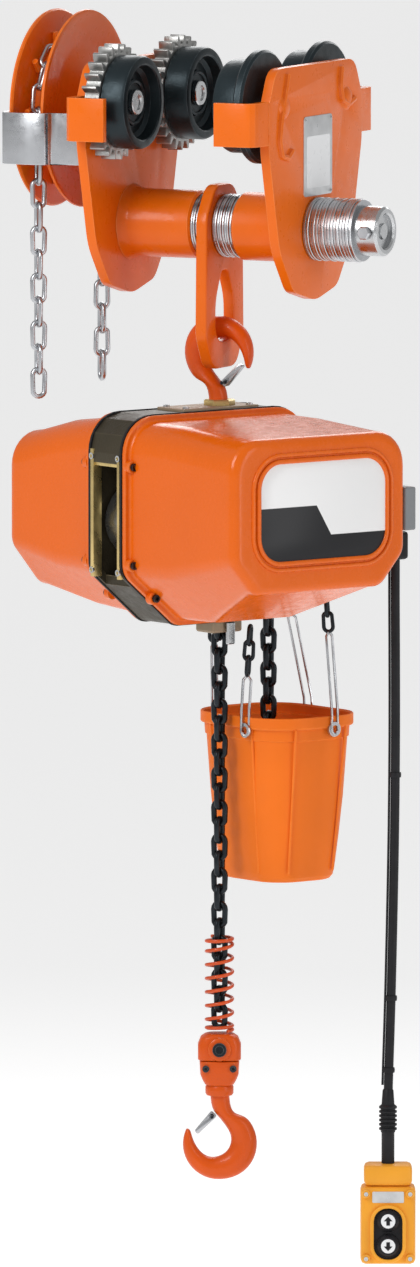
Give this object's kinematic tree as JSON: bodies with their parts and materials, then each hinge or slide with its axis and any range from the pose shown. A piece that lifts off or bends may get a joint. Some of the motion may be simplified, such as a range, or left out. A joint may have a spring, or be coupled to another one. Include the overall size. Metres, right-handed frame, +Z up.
{
  "type": "electric chain hoist with geared beam trolley",
  "caption": "Electric chain hoist on a hand-geared beam trolley, with hooks, load chain, chain bucket and push-button pendant.",
  "frame": {"origin": "rail seat: middle of the trolley at the height of the wheel treads' lowest line", "axes": "+X along the suspension shaft, away from the hand wheel; +Y along the rail; +Z up"},
  "size_m": [0.5021, 0.4172, 1.4979],
  "materials": {
    "orange_paint": "semi-gloss orange enamel on steel",
    "cover_paint": "gloss orange enamel",
    "hook_paint": "orange enamel on a forging",
    "graphite_iron": "dark graphite iron, machined tread",
    "bright_steel": "machined steel",
    "zinc_plate": "bright zinc plate",
    "black_steel": "blackened alloy steel",
    "frame_olive": "dark olive cast frame",
    "bucket_plastic": "orange moulded plastic",
    "spring_paint": "orange-red spring steel",
    "pendant_plastic": "amber moulded plastic",
    "black_rubber": "black rubber",
    "control_plastic": "grey moulded cover",
    "panel_print": "two-tone printed plate",
    "motor_iron": "bare cast iron"
  },
  "bodies": {
    "trolley": {"left_side_plate": "orange_paint", "right_side_plate": "orange_paint", "suspension_shaft": "bright_steel", "left_collar": "orange_paint", "right_collar": "orange_paint", "inner_washers_left": "zinc_plate", "inner_washers_right": "zinc_plate", "outer_washers": "zinc_plate", "shaft_lock_bolt": "zinc_plate", "left_front_axle": "bright_steel", "left_rear_axle": "bright_steel", "right_front_axle": "bright_steel", "right_rear_axle": "bright_steel", "chain_guide": "zinc_plate", "hand_chain": "zinc_plate"},
    "hand_wheel": {"hand_wheel": "orange_paint", "hand_wheel_shaft": "bright_steel", "drive_pinion": "bright_steel"},
    "drive_wheel_front": {"drive_wheel_front": "graphite_iron", "drive_gear_front": "bright_steel"},
    "drive_wheel_rear": {"drive_wheel_rear": "graphite_iron", "drive_gear_rear": "bright_steel"},
    "plain_wheel_front": {"plain_wheel_front": "graphite_iron"},
    "plain_wheel_rear": {"plain_wheel_rear": "graphite_iron"},
    "suspender": {"suspender": "orange_paint"},
    "top_hook": {"top_hook": "hook_paint", "top_latch_pin": "black_steel"},
    "top_latch": {"top_latch": "zinc_plate"},
    "hoist": {"frame": "frame_olive", "front_cover": "cover_paint", "rear_cover": "cover_paint", "motor_stator": "motor_iron", "gear_case": "motor_iron", "control_box": "control_plastic", "hook_yoke": "black_steel", "chain_outlet_guide": "black_steel", "cable_gland": "black_rubber"},
    "motor_rotor": {"motor_rotor": "bright_steel"},
    "load_sheave": {"load_sheave": "bright_steel"},
    "limit_lever": {"limit_lever": "bright_steel"},
    "load": {"load_chain": "black_steel", "limit_spring": "spring_paint", "block_upper": "hook_paint", "block_lower": "hook_paint", "block_pin": "black_steel"},
    "bottom_hook": {"bottom_hook": "hook_paint", "bottom_latch_pin": "black_steel"},
    "bottom_latch": {"bottom_latch": "zinc_plate"},
    "slack_chain": {"slack_chain": "black_steel"},
    "bucket": {"chain_bucket": "bucket_plastic", "bucket_hanger_near": "zinc_plate", "bucket_hanger_right": "zinc_plate", "bucket_hanger_far": "zinc_plate", "bucket_hanger_left": "zinc_plate"},
    "pendant": {"pendant_cable": "black_rubber", "cable_boot": "black_rubber", "pendant_cap": "pendant_plastic", "pendant_case": "pendant_plastic"},
    "up_button": {"up_button": "black_rubber"},
    "down_button": {"down_button": "black_rubber"}
  },
  "joints": [
    {"name": "hand_wheel_spin", "type": "hinge", "parent": "trolley", "child": "hand_wheel", "pos_m": [-0.2, 0, 0.03987], "axis": [1, 0, 0], "continuous": true},
    {"name": "drive_wheel_front_spin", "type": "hinge", "parent": "trolley", "child": "drive_wheel_front", "pos_m": [-0.09, -0.086, 0.056], "axis": [1, 0, 0], "continuous": true},
    {"name": "drive_wheel_rear_spin", "type": "hinge", "parent": "trolley", "child": "drive_wheel_rear", "pos_m": [-0.09, 0.086, 0.056], "axis": [1, 0, 0], "continuous": true},
    {"name": "plain_wheel_front_spin", "type": "hinge", "parent": "trolley", "child": "plain_wheel_front", "pos_m": [0.08, -0.086, 0.056], "axis": [1, 0, 0], "continuous": true},
    {"name": "plain_wheel_rear_spin", "type": "hinge", "parent": "trolley", "child": "plain_wheel_rear", "pos_m": [0.08, 0.086, 0.056], "axis": [1, 0, 0], "continuous": true},
    {"name": "suspender_swing", "type": "hinge", "parent": "trolley", "child": "suspender", "pos_m": [0, 0, -0.095], "axis": [1, 0, 0], "range_deg": [-5, 5]},
    {"name": "hook_rock", "type": "hinge", "parent": "suspender", "child": "top_hook", "pos_m": [0, 0, -0.23448], "axis": [0, 1, 0], "range_deg": [-3, 3]},
    {"name": "top_latch_pivot", "type": "hinge", "parent": "top_hook", "child": "top_latch", "pos_m": [0.009, 0, -0.2838], "axis": [0, -1, 0], "range_deg": [0, 20], "stiffness_Nm_per_rad": 0.05, "springref_deg": -17.19},
    {"name": "hoist_swivel", "type": "hinge", "parent": "top_hook", "child": "hoist", "pos_m": [0, 0, -0.35], "axis": [0, 0, 1], "range_deg": [-15, 15]},
    {"name": "motor_spin", "type": "hinge", "parent": "hoist", "child": "motor_rotor", "pos_m": [-0.00745, -0.01528, -0.438], "axis": [0.8988, -0.4384, 0], "continuous": true},
    {"name": "lift", "type": "slide", "parent": "hoist", "child": "load", "axis": [0, 0, 1], "range_m": [-0.08, 0.08]},
    {"name": "slack_chain_run", "type": "slide", "parent": "hoist", "child": "slack_chain", "axis": [0, 0, 1], "range_m": [-0.08, 0.08]},
    {"name": "load_sheave_spin", "type": "hinge", "parent": "hoist", "child": "load_sheave", "pos_m": [0.01644, 0.0337, -0.442], "axis": [0.8988, -0.4384, 0], "range_deg": [-123, 123]},
    {"name": "limit_lever_tilt", "type": "hinge", "parent": "hoist", "child": "limit_lever", "pos_m": [0.0191, -0.00932, -0.573], "axis": [-0.4384, -0.8988, 0], "range_deg": [0, 12], "stiffness_Nm_per_rad": 0.2, "springref_deg": -5.73},
    {"name": "hook_swivel", "type": "hinge", "parent": "load", "child": "bottom_hook", "pos_m": [0, 0, -1.13], "axis": [0, 0, 1], "continuous": true},
    {"name": "bottom_latch_pivot", "type": "hinge", "parent": "bottom_hook", "child": "bottom_latch", "pos_m": [-0.00809, -0.00394, -1.17304], "axis": [0.4384, -0.8988, 0], "range_deg": [0, 30], "stiffness_Nm_per_rad": 0.05, "springref_deg": -17.19},
    {"name": "bucket_swing", "type": "hinge", "parent": "hoist", "child": "bucket", "pos_m": [0.03858, 0.07909, -0.53], "axis": [0.8988, -0.4384, 0], "range_deg": [-0.5, 4]},
    {"name": "pendant_swing", "type": "hinge", "parent": "hoist", "child": "pendant", "pos_m": [0.2234, 0.0223, -0.491], "axis": [0.8988, -0.4384, 0], "range_deg": [-3, 10]},
    {"name": "up_press", "type": "slide", "parent": "pendant", "child": "up_button", "axis": [-0.4384, 0.8988, 0], "range_m": [0, 0.004], "stiffness_N_per_m": 300, "springref_m": -0.001},
    {"name": "down_press", "type": "slide", "parent": "pendant", "child": "down_button", "axis": [-0.4384, 0.8988, 0], "range_m": [0, 0.004], "stiffness_N_per_m": 300, "springref_m": -0.001}
  ],
  "couplings": [
    {"joint": "drive_wheel_front_spin", "follows": "hand_wheel_spin", "ratio": -0.34615},
    {"joint": "drive_wheel_rear_spin", "follows": "hand_wheel_spin", "ratio": -0.34615},
    {"joint": "slack_chain_run", "follows": "lift", "ratio": -1},
    {"joint": "load_sheave_spin", "follows": "lift", "rad_per_m": -26.667}
  ]
}
